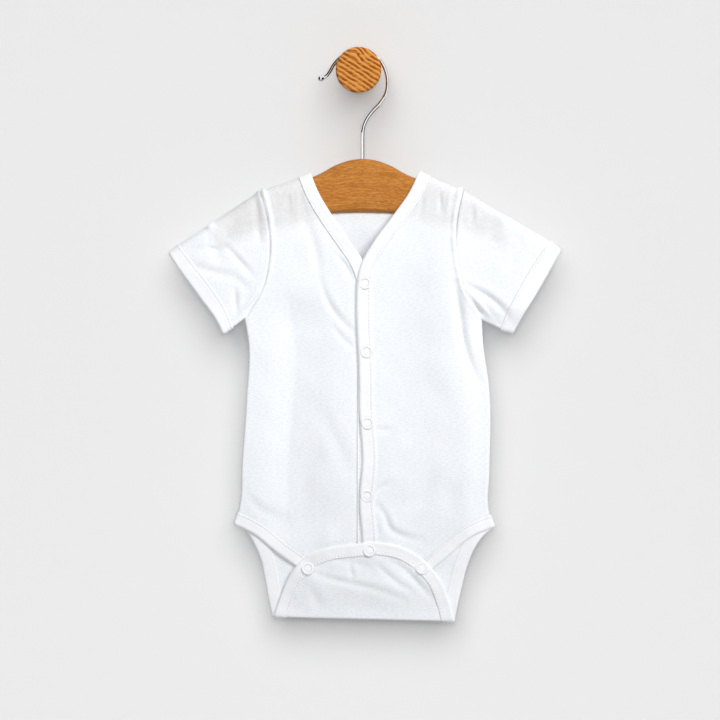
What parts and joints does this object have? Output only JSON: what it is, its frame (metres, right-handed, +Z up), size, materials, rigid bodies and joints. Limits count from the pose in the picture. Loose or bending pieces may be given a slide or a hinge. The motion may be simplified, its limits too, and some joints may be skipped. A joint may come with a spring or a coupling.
{
  "type": "baby onesie on a wooden hanger and wall peg",
  "caption": "Short-sleeved white baby onesie with a V neck, a snapped front placket and a crotch flap, hanging flat on a wooden hanger from a round wall peg.",
  "frame": {"origin": "middle of the peg's flat foot, on the wall", "axes": "+Z up, +Y from the garment's front into the wall, +X to the right as seen from the front, which is the wearer's left"},
  "size_m": [0.3371, 0.054, 0.4942],
  "materials": {
    "jersey": "white cotton jersey, matt, fine knit",
    "binding": "white folded jersey binding, matt",
    "snap": "white enamelled open ring snap, satin",
    "hanger_wood": "amber stained beech, satin varnish",
    "peg_wood": "amber stained wood with strong end grain, satin",
    "hook_chrome": "polished"
  },
  "bodies": {
    "root": {"front_right": "jersey", "front_left": "jersey", "back_panel": "jersey", "sleeve_right": "jersey", "sleeve_left": "jersey", "cuff_binding_right": "binding", "cuff_binding_left": "binding", "neck_binding": "binding", "leg_binding_front_right": "binding", "leg_binding_front_left": "binding", "leg_binding_back": "binding", "snap_cap_1": "snap", "snap_cap_2": "snap", "snap_cap_3": "snap", "snap_cap_4": "snap", "snap_cap_5": "snap", "snap_cap_6": "snap", "snap_cap_7": "snap", "snap_stud_1": "snap", "snap_stud_2": "snap", "snap_stud_3": "snap", "snap_stud_4": "snap", "snap_stud_5": "snap", "snap_stud_6": "snap", "snap_stud_7": "snap", "hanger_bar": "hanger_wood", "hanger_hook": "hook_chrome", "wall_peg": "peg_wood"}
  },
  "joints": []
}
